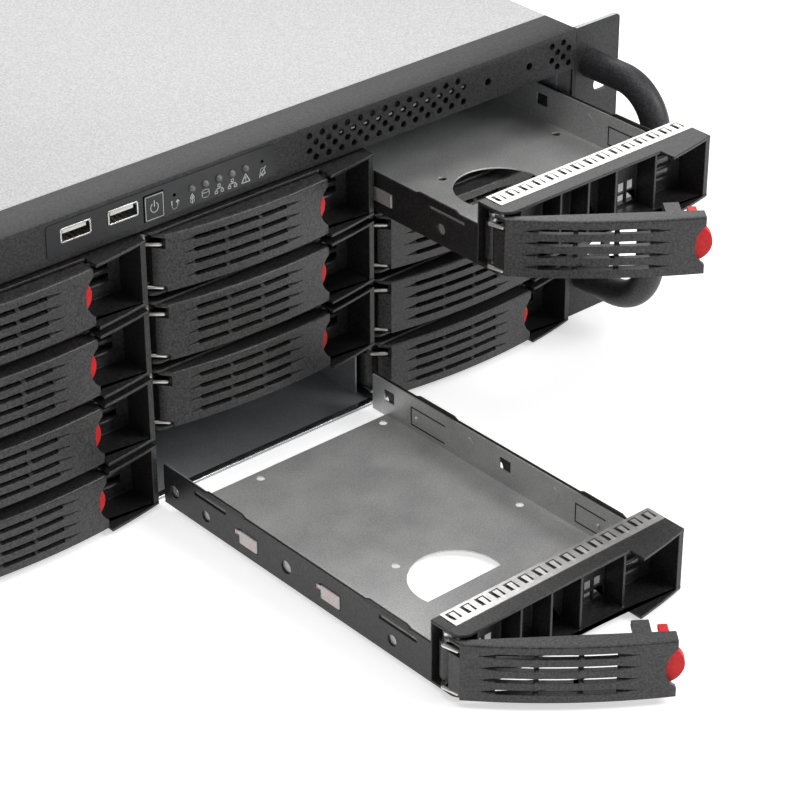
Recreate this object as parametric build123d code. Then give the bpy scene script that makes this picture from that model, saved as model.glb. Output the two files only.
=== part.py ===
from build123d import *
import math
import os

# A 3U rackmount storage server chassis with sixteen hot-swap drive carriers.
# X runs to the right, Y into the rack and Z up. Y = 0 is the rear face of the
# rack ears, and Z = 0 is the underside of the case.

# Case, in millimetres
case_width = 434.0
case_height = 132.0
case_depth = 648.0
wall_sheet = 1.2
ear_span = 482.6
ear_sheet = 2.0
face_y = -ear_sheet

# Front strip above the drive bays
strip_height = 17.1
strip_depth = 18.3
fascia_sheet = 1.2
part_gap = 0.3
seam_gap = 0.1

# Bay grid
columns = 4
rows = 4
column_pitch = 107.5
row_pitch = 28.7
bay_floor_gap = 0.3
cage_sheet = 0.8
cage_rear_y = 170.0
cage_front_setback = 9.0
ledge_reach = 5.0
ledge_setback = 6.0
ledge_end_gap = 2.0
roof_setback = 8.0

# Carrier
carrier_width = 105.1
carrier_height = 26.1
carrier_length = 164.0
rail_height = 16.7
rail_wall = 0.9
bezel_rear = 13.6
bezel_sheet = 1.2
bezel_front = -1.3
bezel_back_wall = 9.5
well_wall = 2.4
rib_front = 0.3
front_apex_x = 48.0
front_apex_y = -10.3
front_radius = 270.0
well_left = 79.6
knuckle_bay = 11.4
pan_sheet = 0.7
pan_lift = 0.4
pan_wall_height = 15.8
pan_rear = 156.0
floor_hole_x = 48.0
floor_hole_y = 52.5
floor_hole_radius = 18.3
floor_hole_flat = 48.5
leaf_stand = 0.4
strip_front = 5.0
strip_left = 4.0
emi_sheet = 0.25
emi_rise = 0.55
emi_fingers = 15
emi_end_gap = 0.6
finger_front = 2.0
finger_crown = 4.6
finger_back = 7.0

# Lever of a carrier
lever_bottom = 1.4
lever_top = 24.6
lever_left_x = 6.8
lever_left_y = -3.6
lever_right_x = 80.2
lever_right_y = -6.8
lever_radius = 254.0
lever_back = -0.9
lever_wall = 2.2
lever_flange = 1.4
facet_x = 3.4
facet_y = 0.6
knuckle_bottom = 3.6
knuckle_top = 18.9
knuckle_radius = 4.3
pivot_x = 5.2
pivot_y = 8.4
pin_radius = 1.5
running_gap = 0.05
slot_pitch = 4.9
slot_height = 1.6
slot_starts = (18.8, 33.3, 48.4)
slot_ends = (31.7, 46.6, 59.8)
slot_rows = 4
knuckle_neck = 1.6
notch_radius = 10.0
notch_depth = 4.0
latch_radius = 7.6
latch_inset = 4.3
latch_front = -3.4
latch_thickness = 2.0
latch_tip_left = 74.8
latch_tip_width = 3.5
latch_tip_reach = 6.0
latch_neck_rise = 4.0
latch_press = 2.5
hook_left = 66.0
hook_width = 6.0
hook_reach = 8.5
hook_bottom = 20.8
spring_wire = 0.85
spring_coil = 1.7
spring_knee = (1.9, 2.9)
spring_end = (5.0, 0.2)
open_angle = 37.0

# Carriers that stand open, as column and row counted from the top left
open_pull = {(3, 0): 73.2, (2, 3): 168.5}

# Rear compartment
backplane_sheet = 1.6
fan_wall_y = 205.0
fan_size = 120.0
fan_depth = 38.0
fan_pitch = 130.0
fan_bore_radius = 57.5
fan_hub_radius = 25.0
fan_tip_gap = 1.5
fan_blades = 7
fan_shaft_radius = 3.0
psu_width = 106.0
psu_height = 84.0
psu_depth = 220.0
io_width = 158.75
io_height = 44.45
slot_count = 7
card_pitch = 20.32
card_slot_width = 13.0
card_slot_height = 100.0


# Helpers for plain shapes
def block(x0, x1, y0, y1, z0, z1):
    return Pos((x0 + x1) / 2, (y0 + y1) / 2, (z0 + z1) / 2) * Box(x1 - x0, y1 - y0, z1 - z0)


def rod_z(x, y, z0, z1, radius):
    return Pos(x, y, (z0 + z1) / 2) * Cylinder(radius, z1 - z0)


def rod_y(x, z, y0, y1, radius):
    return Pos(x, (y0 + y1) / 2, z) * Rot(90, 0, 0) * Cylinder(radius, y1 - y0)


def rod_x(y, z, x0, x1, radius):
    return Pos((x0 + x1) / 2, y, z) * Rot(0, 90, 0) * Cylinder(radius, x1 - x0)


def prism(face, z0, z1):
    return Pos(0, 0, z0) * extrude(face, z1 - z0)


def save(name, *pieces):
    solids = []
    for piece in pieces:
        solids += list(piece.solids())
    export_step(solids[0] if len(solids) == 1 else Compound(solids), f"parts/{name}.step")


# Places of the bay grid
half_width = case_width / 2
inner_half = half_width - wall_sheet
carrier_side_gap = (column_pitch - carrier_width) / 2
carrier_lift = wall_sheet + bay_floor_gap
strip_bottom = case_height - strip_height


def column_edge(column):
    return (column - columns / 2) * column_pitch


def row_floor(row):
    return (rows - 1 - row) * row_pitch


def carrier_place(column, row):
    pull = open_pull.get((column, row), 0.0)
    return Pos(column_edge(column) + carrier_side_gap, face_y - pull, row_floor(row) + carrier_lift)


# Front arc that the lever and the finger well share
def front_arc_y(x):
    return front_apex_y + (x - front_apex_x) ** 2 / (2 * front_radius)


# Carrier frame: bezel with finger well and two side rails, one moulding
def bezel_plate():
    corner = 5.0
    outline = (
        Line((0, bezel_rear), (0, bezel_front + corner))
        + RadiusArc((0, bezel_front + corner), (corner, bezel_front), -corner)
        + Line((corner, bezel_front), (well_left + 1, bezel_front))
        + Line((well_left + 1, bezel_front), (well_left + 1, front_arc_y(well_left + 1)))
        + RadiusArc((well_left + 1, front_arc_y(well_left + 1)),
                    (carrier_width, front_arc_y(carrier_width)), -front_radius)
        + Line((carrier_width, front_arc_y(carrier_width)), (carrier_width, bezel_rear))
        + Line((carrier_width, bezel_rear), (0, bezel_rear))
    )
    return make_face(outline)


window_width = 3.6
window_height = 4.0
window_pitch_x = 4.8
window_pitch_z = 5.0
window_first_x = 1.4
window_first_z = 2.4
rib_count = 3
rib_pitch = 14.5
first_rib = 30.0
rail_slot_height = 1.6
rail_slots = ((20.7, 40.3), (126.4, 145.3))
rail_slot_z = 13.4
rail_holes = ((33.5, 6.6, 2.2), (91.5, 7.4, 2.6), (138.5, 6.0, 2.2), (157.5, 7.5, 2.4))
leaf_places = (61.5, 108.0)
leaf_length = 10.0
leaf_height = 5.6
leaf_z = 7.5
lap = 0.2
louvre_count = 3
louvre_z = 8.0
louvre_pitch = 5.0
louvre_height = 2.0
louvre_left = 4.0
louvre_right = 18.0
pan_screw_x = (36.6, 98.5)
pan_screw_y = (73.2, 151.8)
pan_screw_radius = 1.6
wall_window_y = (84.0, 151.0)
wall_window_length = 6.0
wall_window_z = 7.0
wall_window_height = 5.0


def rail(side_x):
    body = block(side_x, side_x + rail_wall, bezel_rear - 0.7, carrier_length, 0, rail_height)
    cuts = []
    for y0, y1 in rail_slots:
        cuts.append(block(side_x - 1, side_x + rail_wall + 1, y0, y1, rail_slot_z - rail_slot_height / 2,
                          rail_slot_z + rail_slot_height / 2))
    for y, z, radius in rail_holes:
        cuts.append(rod_x(y, z, side_x - 1, side_x + rail_wall + 1, radius))
    for y in leaf_places:
        cuts.append(block(side_x - 1, side_x + rail_wall + 1, y - part_gap, y + leaf_length + part_gap,
                          leaf_z - leaf_height / 2 - part_gap, leaf_z + leaf_height / 2 + part_gap))
    return body - cuts


def carrier_frame():
    top = carrier_height
    plate = bezel_plate()
    solids = [
        prism(plate, 0, bezel_sheet),
        prism(plate, top - bezel_sheet, top),
        block(knuckle_bay - bezel_sheet, carrier_width - rail_wall, bezel_back_wall,
              bezel_back_wall + bezel_sheet, 0, top),
        block(0, knuckle_bay, bezel_rear - 0.7, bezel_rear, 0, top),
        block(knuckle_bay - bezel_sheet, knuckle_bay, rib_front + 1, bezel_rear, 0, top),
        block(well_left, well_left + bezel_sheet, rib_front, bezel_back_wall + 1, 0, top),
        block(carrier_width - well_wall, carrier_width, front_arc_y(carrier_width) + seam_gap, bezel_rear, 0, top),
        rail(0),
        rail(carrier_width - rail_wall),
    ]
    for index in range(rib_count):
        x = first_rib + index * rib_pitch
        solids.append(block(x - bezel_sheet / 2, x + bezel_sheet / 2, rib_front, bezel_back_wall + 1, 0, top))
    body = solids[0] + solids[1:]
    cuts = [rod_z(pivot_x, pivot_y, -1, top + 1, pin_radius + running_gap)]
    window_right = well_left - bezel_sheet / 2
    x = first_rib - rib_pitch + window_first_x
    while x + window_width < window_right:
        clear = all(abs(x + window_width / 2 - first_rib - index * rib_pitch) > (window_width + bezel_sheet) / 2
                    for index in range(rib_count))
        if clear:
            for up in range(2):
                z = window_first_z + up * window_pitch_z
                cuts.append(block(x, x + window_width, bezel_back_wall - 1,
                                  bezel_back_wall + bezel_sheet + 1, z, z + window_height))
        x += window_pitch_x
    for index in range(louvre_count):
        z = louvre_z + index * louvre_pitch
        cuts.append(block(well_left + louvre_left, well_left + louvre_right, bezel_back_wall - 1,
                          bezel_back_wall + bezel_sheet + 1, z, z + louvre_height))
    return body - cuts


# Carrier pan: galvanised sheet tray that the drive is screwed into
def carrier_pan():
    left = rail_wall
    right = carrier_width - rail_wall
    z0 = pan_lift
    floor = block(left, right, bezel_rear, pan_rear, z0, z0 + pan_sheet)
    body = floor + [
        block(left, left + pan_sheet, bezel_rear, carrier_length, z0, z0 + pan_wall_height),
        block(right - pan_sheet, right, bezel_rear, carrier_length, z0, z0 + pan_wall_height),
    ]
    leaves = []
    for y in leaf_places:
        for x0, x1 in ((-leaf_stand, left + lap), (right - lap, carrier_width + leaf_stand)):
            leaves.append(block(x0, x1, y, y + leaf_length, leaf_z - leaf_height / 2, leaf_z + leaf_height / 2))
    body = body + leaves
    hole = rod_z(floor_hole_x, floor_hole_y, z0 - 1, z0 + pan_sheet + 1, floor_hole_radius)
    keep_off = block(0, carrier_width, 0, floor_hole_flat, z0 - 2, z0 + pan_sheet + 2)
    cuts = [hole - keep_off]
    for x in pan_screw_x:
        for y in pan_screw_y:
            cuts.append(rod_z(x, y, z0 - 1, z0 + pan_sheet + 1, pan_screw_radius))
    for y in wall_window_y:
        for x in (left - 1, right - pan_sheet - 1):
            cuts.append(block(x, x + pan_sheet + 2, y, y + wall_window_length,
                              z0 + wall_window_z, z0 + wall_window_z + wall_window_height))
    return body - cuts


# Spring fingers on top of the bezel that earth the carrier to its neighbour
def emi_strip():
    x0 = strip_left
    x1 = carrier_width - emi_end_gap
    z0 = carrier_height
    z1 = z0 + emi_sheet
    pitch = (x1 - x0) / emi_fingers
    body = block(x0, x1, strip_front, bezel_rear, z0, z1)
    cuts = []
    ramps = []
    for index in range(emi_fingers):
        x = x0 + (index + 0.25) * pitch
        cuts.append(block(x, x + 0.55 * pitch, strip_front + finger_front + lap, strip_front + finger_back + lap,
                          z0 - 1, z1 + 1))
        ramp = Polyline((strip_front + finger_front, z0), (strip_front + finger_crown, z0 + emi_rise),
                        (strip_front + finger_back, z0 + seam_gap), (strip_front + finger_back, z0), close=True)
        ramps.append(Pos(x + 0.15 * pitch, 0, 0) * extrude(Plane.YZ * make_face(ramp), 0.4 * pitch))
    return body - cuts + ramps


# Lever, drawn closed
def lever_front_outline():
    front = RadiusArc((lever_left_x, lever_left_y), (lever_right_x, lever_right_y), -lever_radius)
    rest = Polyline((lever_right_x, lever_right_y), (lever_right_x, lever_back),
                    (facet_x + 1.6, lever_back), (facet_x, facet_y), (lever_left_x, lever_left_y))
    return make_face(front + rest)


def lever_pocket_outline():
    inner = lever_wall
    front = RadiusArc((lever_left_x + 3.2, lever_left_y + inner - 0.4),
                      (lever_right_x + 1, lever_right_y + inner), inner - lever_radius)
    rest = Polyline((lever_right_x + 1, lever_right_y + inner), (lever_right_x + 1, lever_back + 1),
                    (lever_left_x + 3.2, lever_back + 1), (lever_left_x + 3.2, lever_left_y + inner - 0.4))
    return make_face(front + rest)


def lever():
    middle = (lever_bottom + lever_top) / 2
    body = prism(lever_front_outline(), lever_bottom, lever_top)
    body = body - prism(lever_pocket_outline(), lever_bottom + lever_flange, lever_top - lever_flange)
    # The hinge corner is cut back above and below the knuckle for the spring legs
    corner_low = block(-5, lever_left_x - 0.2, -6, 4, lever_bottom - 1, knuckle_bottom)
    corner_high = block(-5, lever_left_x - 0.2, -6, 4, knuckle_top, lever_top - lever_flange)
    body = body - [corner_low, corner_high]
    arm = make_face(Polyline((lever_left_x, lever_left_y), (facet_x, facet_y),
                             (pivot_x - knuckle_radius, pivot_y - knuckle_neck), (pivot_x, pivot_y),
                             (pivot_x + knuckle_radius, pivot_y - knuckle_neck),
                             (lever_left_x + 3.2, lever_back), (lever_left_x + 3.2, lever_left_y + 0.6),
                             close=True))
    body = body + [prism(arm, knuckle_bottom, knuckle_top),
                   rod_z(pivot_x, pivot_y, knuckle_bottom, knuckle_top, knuckle_radius)]
    hook = [block(hook_left, hook_left + hook_width, lever_back - 1.5, hook_reach,
                  hook_bottom, lever_top - 0.4)]
    body = body + hook
    cuts = [rod_z(pivot_x, pivot_y, 0, carrier_height, pin_radius)]
    for row in range(slot_rows):
        z = middle + (row - (slot_rows - 1) / 2) * slot_pitch
        for x0, x1 in zip(slot_starts, slot_ends):
            cuts.append(block(x0, x1, front_apex_y - 2, lever_back - 2.5, z - slot_height / 2, z + slot_height / 2))
    cuts.append(rod_y(lever_right_x - notch_depth + notch_radius, middle, front_apex_y - 2, latch_front,
                      notch_radius))
    return body - cuts


# Red release latch that slides along the lever
def release_latch():
    middle = (lever_bottom + lever_top) / 2
    disc = rod_y(lever_right_x - latch_inset, middle, latch_front, latch_front + latch_thickness, latch_radius)
    top = lever_top - lever_flange - part_gap
    right = latch_tip_left + latch_tip_width
    neck = block(latch_tip_left, right, latch_front, latch_front + latch_thickness, middle + latch_neck_rise, top)
    tip = block(latch_tip_left, right, latch_front + latch_thickness - lap, latch_tip_reach, hook_bottom + lap, top)
    return disc + [neck, tip]


# Hinge pin with a torsion spring at each end
def spring(z0, z1, leg_z):
    coil = rod_z(pivot_x, pivot_y, z0, z1, pin_radius + spring_coil)
    body = coil - rod_z(pivot_x, pivot_y, z0 - 1, z1 + 1, pin_radius)
    start = (pivot_x - pin_radius - spring_wire, pivot_y)
    run = [start, spring_knee, spring_end]
    for (xa, ya), (xb, yb) in zip(run, run[1:]):
        length = math.hypot(xb - xa, yb - ya)
        angle = math.degrees(math.atan2(yb - ya, xb - xa))
        leg = Pos((xa + xb) / 2, (ya + yb) / 2, leg_z) * Rot(0, 0, angle) * Rot(0, 90, 0)
        body = body + leg * Cylinder(spring_wire, length)
    return body + Pos(spring_knee[0], spring_knee[1], leg_z) * Sphere(spring_wire)


def hinge_pin():
    return rod_z(pivot_x, pivot_y, 0.2, carrier_height - 0.2, pin_radius)


def hinge_springs():
    top = spring(knuckle_top + part_gap, lever_top - lever_flange - part_gap, knuckle_top + part_gap + spring_wire)
    low = spring(bezel_sheet + 0.4, knuckle_bottom - part_gap, (bezel_sheet + knuckle_bottom + 0.1) / 2)
    return [top, low]


frame_shape = carrier_frame()
pan_shape = carrier_pan()
emi_shape = emi_strip()
lever_shape = lever()
latch_shape = release_latch()
pin_shapes = [hinge_pin()] + hinge_springs()
swing = Pos(pivot_x, pivot_y, 0) * Rot(0, 0, -open_angle) * Pos(-pivot_x, -pivot_y, 0)

for column in range(columns):
    for row in range(rows):
        tag = "abcd"[column] + str(row + 1)
        place = carrier_place(column, row)
        if (column, row) in open_pull:
            save(f"pan_{tag}", place * pan_shape)
            save(f"frame_{tag}", place * frame_shape)
            save(f"emi_strip_{tag}", place * emi_shape)
            save(f"lever_{tag}", place * swing * lever_shape)
            save(f"release_latch_{tag}", place * swing * latch_shape)
            save(f"hinge_pin_{tag}", *[place * swing * shape for shape in pin_shapes])
        else:
            save(f"carrier_{tag}", place * frame_shape, place * pan_shape, place * emi_shape)
            # A closed lever's latch stands pushed in towards the hinge
            save(f"lever_{tag}", place * lever_shape, place * Pos(-latch_press, 0, 0) * latch_shape,
                 *[place * shape for shape in pin_shapes])


# Drive cage, spot-welded from a roof sheet, dividers, side plates and ledges
def drive_cage():
    front = face_y + cage_front_setback
    roof_top = strip_bottom - seam_gap
    roof_low = roof_top - cage_sheet
    sheets = [block(-inner_half, inner_half, front + roof_setback, cage_rear_y, roof_low, roof_top)]
    for edge in range(columns + 1):
        middle = column_edge(edge)
        x0 = middle - cage_sheet / 2
        if edge == 0:
            x0 = -inner_half
        elif edge == columns:
            x0 = inner_half - cage_sheet
        x1 = x0 + cage_sheet
        sheets.append(block(x0, x1, front, cage_rear_y, wall_sheet, roof_low))
        for row in range(rows - 1):
            z1 = row_floor(row) + carrier_lift - bay_floor_gap
            if edge > 0:
                sheets.append(block(middle - ledge_reach, x0, front + ledge_setback, cage_rear_y - ledge_end_gap,
                                    z1 - cage_sheet, z1))
            if edge < columns:
                sheets.append(block(x1, middle + ledge_reach, front + ledge_setback, cage_rear_y - ledge_end_gap,
                                    z1 - cage_sheet, z1))
    return sheets


# Backplane board with one drive connector for each bay
connector_width = 42.0
connector_depth = 9.0
connector_height = 7.0
connector_z = 5.0
board_vent_near = 24.0
board_vent_far = 40.0
board_vent_low = 4.0
board_vent_high = 20.0


def backplane():
    y0 = cage_rear_y
    board = block(-inner_half + 1, inner_half - 1, y0, y0 + backplane_sheet, wall_sheet + 2, strip_bottom - 2)
    vents = []
    connectors = []
    for column in range(columns):
        for row in range(rows):
            x = column_edge(column) + column_pitch / 2
            z = row_floor(row) + carrier_lift
            for x0 in (x - board_vent_far, x + board_vent_near):
                vents.append(block(x0, x0 + board_vent_far - board_vent_near, y0 - 1, y0 + 3,
                                   z + board_vent_low, z + board_vent_high))
            connectors.append(block(x - connector_width / 2, x + connector_width / 2, y0 - connector_depth, y0,
                                    z + connector_z, z + connector_z + connector_height))
    return [board - vents] + connectors


# Tub: floor and rear wall in one folding, with a side plate welded on at each end
fan_centre_z = case_height / 2 - 1.0
rear_y = case_depth
psu_left = inner_half - psu_width - 6.0
psu_base = wall_sheet
io_left = -inner_half + 8.0 + slot_count * card_pitch
io_base = wall_sheet + 6.0
card_left = -inner_half + 6.0
card_base = wall_sheet + 12.0
psu_lip = 3.0
rear_vent_columns = 18
rear_vent_rows = 5
rear_vent_pitch_x = 8.4
rear_vent_pitch_z = 9.0
rear_vent_radius = 2.6
rear_vent_rise = 14.0
rear_vent_margin = 6.0
standoff_right = 82.0
standoff_rear = case_depth - 12.0
standoff_columns = (0.0, 157.48, 281.94)
standoff_rows = (0.0, 154.94, 227.33)
standoff_height = 6.0
standoff_radius = 3.4
standoff_bore = 1.6


def chassis_tub():
    floor = block(-half_width, half_width, face_y, rear_y, 0, wall_sheet)
    top = case_height - wall_sheet
    body = floor + block(-inner_half, inner_half, rear_y - wall_sheet, rear_y, 0, top)
    sides = [
        block(-half_width, -inner_half, face_y + fascia_sheet, rear_y, wall_sheet, top),
        block(inner_half, half_width, face_y + fascia_sheet, rear_y, wall_sheet, top),
    ]
    cuts = [
        block(psu_left + psu_lip, psu_left + psu_width - psu_lip, rear_y - 5, rear_y + 5,
              psu_base + psu_lip, psu_base + psu_height - psu_lip),
        block(io_left, io_left + io_width, rear_y - 5, rear_y + 5, io_base, io_base + io_height),
    ]
    for index in range(slot_count):
        x = card_left + index * card_pitch + (card_pitch - card_slot_width) / 2
        cuts.append(block(x, x + card_slot_width, rear_y - 5, rear_y + 5, card_base, card_base + card_slot_height))
    vent_row = []
    for index in range(rear_vent_columns):
        for up in range(rear_vent_rows):
            x = io_left + rear_vent_margin + index * rear_vent_pitch_x
            z = io_base + io_height + rear_vent_rise + up * rear_vent_pitch_z
            vent_row.append(rod_y(x, z, rear_y - 5, rear_y + 5, rear_vent_radius))
    body = body - cuts - vent_row
    standoffs = []
    bores = []
    for dx in standoff_columns:
        for dy in standoff_rows:
            x = standoff_right - dx
            y = standoff_rear - dy
            standoffs.append(rod_z(x, y, wall_sheet - lap, wall_sheet + standoff_height, standoff_radius))
            bores.append(rod_z(x, y, wall_sheet, wall_sheet + standoff_height + 1, standoff_bore))
    return [body + standoffs - bores] + sides


skirt_height = 12.0
skirt_start = 70.0


def top_cover():
    y0 = face_y + strip_depth
    top = case_height
    roof = block(-half_width, half_width, y0, rear_y, top - wall_sheet, top)
    skirts = [
        block(-half_width - wall_sheet, -half_width, y0 + skirt_start, rear_y, top - skirt_height, top),
        block(half_width, half_width + wall_sheet, y0 + skirt_start, rear_y, top - skirt_height, top),
    ]
    return roof + skirts


# Fascia: folded strip over the bays, with the control openings and vent holes
usb_places = (-28.0, -7.5)
usb_z = 125.0
usb_width = 13.2
usb_height = 5.8
button_left = 1.7
button_right = 10.2
button_low = 118.2
button_high = 128.2
led_places = (23.2, 29.3, 35.5, 41.6, 47.8)
led_z = 124.6
led_radius = 1.5
reset_place = (15.3, 124.6)
mute_place = (55.6, 125.0)
pinhole_radius = 0.7
vent_radius = 1.35
vent_pitch = 6.2
vent_rows = (127.9, 124.7, 121.8, 118.5)
vent_start = 78.5
vents_per_row = 13
end_vent_x = 203.5
end_vents = 2
overlay_left = -40.4
overlay_right = 61.8
overlay_low = 117.6
overlay_high = 130.4
overlay_sheet = 0.3
overlay_corner = 1.5
post_width = 1.6
fascia_hem = 1.0
fascia_screw_x = (168.9, 191.1)
fascia_screw_z = 123.0
fascia_screw_radius = 1.6
usb_stand = 0.6
usb_wall = 0.4
usb_tongue = 10.0
lamp_stand = 0.2


def control_cuts(depth0, depth1):
    cuts = []
    for x in usb_places:
        cuts.append(block(x - usb_width / 2 - seam_gap, x + usb_width / 2 + seam_gap, depth0, depth1,
                          usb_z - usb_height / 2 - seam_gap, usb_z + usb_height / 2 + seam_gap))
    cuts.append(block(button_left - part_gap, button_right + part_gap, depth0, depth1,
                      button_low - part_gap, button_high + part_gap))
    for x in led_places:
        cuts.append(rod_y(x, led_z, depth0, depth1, led_radius + running_gap))
    for x, z in (reset_place, mute_place):
        cuts.append(rod_y(x, z, depth0, depth1, pinhole_radius))
    return cuts


def front_fascia():
    y0 = face_y
    top = case_height
    back = y0 + strip_depth - seam_gap
    body = block(-half_width, half_width, y0, y0 + fascia_sheet, strip_bottom, top)
    posts = []
    for side in (-1, 1):
        x0 = side * half_width
        x1 = side * (half_width - post_width)
        posts.append(block(min(x0, x1), max(x0, x1), y0, y0 + fascia_sheet, wall_sheet, top))
    body = body + posts + [
        block(-half_width, half_width, y0, back, top - fascia_sheet, top),
        block(-inner_half, inner_half, y0, back - 4, strip_bottom, strip_bottom + fascia_hem),
    ]
    cuts = control_cuts(y0 - 1, y0 + fascia_sheet + 1)
    for side in (-1, 1):
        for level, z in enumerate(vent_rows):
            for index in range(vents_per_row):
                x = vent_start + (index + 0.5 * (level % 2)) * vent_pitch
                cuts.append(rod_y(side * x, z, y0 - 1, y0 + fascia_sheet + 1, vent_radius))
            for index in range(end_vents):
                x = end_vent_x + (index + 0.5 * (level % 2)) * vent_pitch
                cuts.append(rod_y(side * x, z, y0 - 1, y0 + fascia_sheet + 1, vent_radius))
        for x in fascia_screw_x:
            cuts.append(rod_y(side * x, fascia_screw_z, y0 - 1, y0 + fascia_sheet + 1, fascia_screw_radius))
    return body - cuts


def control_overlay():
    y0 = face_y - overlay_sheet
    film = block(overlay_left, overlay_right, y0, face_y, overlay_low, overlay_high)
    film = fillet(film.edges().filter_by(Axis.Y), overlay_corner)
    return film - control_cuts(y0 - 1, face_y + 1)


control_board_y = face_y + 13.4


def usb_ports():
    shells = []
    for x in usb_places:
        half = usb_width / 2
        low = usb_z - usb_height / 2
        high = usb_z + usb_height / 2
        outer = block(x - half, x + half, face_y - usb_stand, control_board_y, low, high)
        inner = block(x - half + usb_wall, x + half - usb_wall, face_y - 1, control_board_y - usb_wall,
                      low + usb_wall, high - usb_wall)
        tongue = block(x - usb_tongue / 2, x + usb_tongue / 2, face_y + 1, control_board_y - usb_wall,
                       usb_z + usb_wall, usb_z + usb_wall + 1.4)
        shells.append(outer - inner + tongue)
    return shells


def indicator_lights():
    lamps = []
    for x in led_places:
        stem = rod_y(x, led_z, face_y - lamp_stand, control_board_y, led_radius)
        lamps.append(stem + Pos(x, face_y - lamp_stand, led_z) * Sphere(led_radius))
    return lamps


button_travel = 1.5
button_stand = 0.8
button_depth = 9.0
button_corner = 0.6
switch_size = 6.0
board_foot = 5.0
control_sheet = 1.6


def power_button():
    cap = block(button_left, button_right, face_y - button_stand, face_y + button_depth, button_low, button_high)
    return fillet(cap.edges().filter_by(Axis.Y), button_corner)


def control_board():
    y0 = control_board_y
    y1 = y0 + control_sheet
    board = block(overlay_left, overlay_right, y0, y1, overlay_low, overlay_high)
    x = (button_left + button_right) / 2 - switch_size / 2
    z = (button_low + button_high) / 2 - switch_size / 2
    switch = block(x, x + switch_size, face_y + button_depth + button_travel, y0, z, z + switch_size)
    feet = []
    for x0 in (overlay_left, overlay_right - board_foot):
        feet.append(block(x0, x0 + board_foot, y0, y1, strip_bottom + fascia_hem, overlay_low + 1))
    return board + [switch] + feet


# Rack ears with their slots, and the two bow handles
ear_inner = half_width
ear_return = 62.0
ear_slot_x = 232.55
ear_slot_z = (28.0, 104.2)
ear_slot_width = 6.8
ear_slot_length = 10.0
handle_x = 225.5
handle_z = (17.5, 114.5)
handle_reach = 44.0
handle_radius = 5.9
handle_bend = 20.0
handle_screw_radius = 2.1
ear_corner = 2.0


def rack_ear(side):
    half = ear_span / 2
    plate = block(ear_inner, half, face_y, 0, 0, case_height)
    plate = fillet(plate.edges().filter_by(Axis.Y).group_by(Axis.X)[-1], ear_corner)
    return_top = case_height - skirt_height - ear_sheet
    body = plate + block(ear_inner, ear_inner + ear_sheet, face_y, ear_return, 0, return_top)
    cuts = []
    for z in ear_slot_z:
        slot = extrude(Plane.XZ * Pos(ear_slot_x, z) * SlotOverall(ear_slot_length, ear_slot_width), 8, both=True)
        cuts.append(slot)
    for z in handle_z:
        cuts.append(rod_y(handle_x, z, face_y - 1, 1, handle_screw_radius))
    body = body - cuts
    return body if side > 0 else mirror(body, Plane.YZ)


def ear_handle(side):
    x = side * handle_x
    low, high = handle_z
    back = face_y
    front = face_y - handle_reach + handle_radius
    path = FilletPolyline((x, back, low), (x, front, low), (x, front, high), (x, back, high), radius=handle_bend)
    ring = Plane(origin=(x, back, low), z_dir=(0, -1, 0)) * Circle(handle_radius)
    return sweep(ring, path=path)


# Fan wall, three fans and their rotors
fan_foot = 12.0
spoke_width = 5.0
spoke_thickness = 3.0
stator_thickness = 6.0
blade_sheet = 1.6
blade_chord = 26.0
blade_twist = 38.0
rotor_front_gap = 3.0
rotor_rear_gap = 8.0


def fan_places():
    return [(index - 1) * fan_pitch for index in range(3)]


def fan_wall():
    body = block(-inner_half, inner_half, fan_wall_y, fan_wall_y + wall_sheet, wall_sheet, case_height - wall_sheet
                 - part_gap)
    foot = block(-inner_half, inner_half, fan_wall_y - fan_foot, fan_wall_y, wall_sheet, 2 * wall_sheet)
    openings = [rod_y(x, fan_centre_z, fan_wall_y - 1, fan_wall_y + 3, fan_bore_radius) for x in fan_places()]
    return body - openings + foot


def fan_frame(x):
    y0 = fan_wall_y + wall_sheet
    y1 = y0 + fan_depth
    half = fan_size / 2
    ring = block(x - half, x + half, y0, y1, fan_centre_z - half, fan_centre_z + half)
    ring = ring - rod_y(x, fan_centre_z, y0 - 1, y1 + 1, fan_bore_radius)
    stator = [rod_y(x, fan_centre_z, y1 - stator_thickness, y1, fan_hub_radius)]
    for angle in (45, 135):
        spoke = Rot(0, angle, 0) * Box(2 * fan_bore_radius + 2, spoke_thickness, spoke_width)
        stator.append(Pos(x, y1 - stator_thickness / 2, fan_centre_z) * spoke)
    body = ring + stator
    return body - rod_y(x, fan_centre_z, y1 - stator_thickness - 1, y1 + 1, fan_shaft_radius + running_gap)


def fan_rotor(x):
    y0 = fan_wall_y + wall_sheet + rotor_front_gap
    y1 = fan_wall_y + wall_sheet + fan_depth - rotor_rear_gap
    hub = rod_y(x, fan_centre_z, y0, y1, fan_hub_radius)
    shaft = rod_y(x, fan_centre_z, y1 - 1, y1 + stator_thickness + 1, fan_shaft_radius)
    root = fan_hub_radius - 3
    span = fan_bore_radius - fan_tip_gap - root
    blades = []
    for index in range(fan_blades):
        turn = 360 / fan_blades * index
        blade = Pos(root + span / 2, 0, 0) * Rot(blade_twist, 0, 0) * Box(span - 1, blade_chord, blade_sheet)
        blades.append(Pos(x, (y0 + y1) / 2, fan_centre_z) * Rot(0, turn, 0) * blade)
    return hub + [shaft] + blades


# Power supply module with its mains inlet and fan grille
psu_nose_margin = 4.0
psu_nose_stand = 1.5
inlet_left = 10.0
inlet_width = 28.0
inlet_height = 21.0
inlet_depth = 14.0
inlet_pins = ((7.0, -3.0), (0.0, 3.0), (-7.0, -3.0))
inlet_pin_width = 2.0
inlet_pin_height = 4.0
grille_left = 48.0
grille_right = 10.0
grille_low = 20.0
grille_pitch = 4.6
grille_slot = 3.0
grille_count = 9
grille_depth = 8.0


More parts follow.
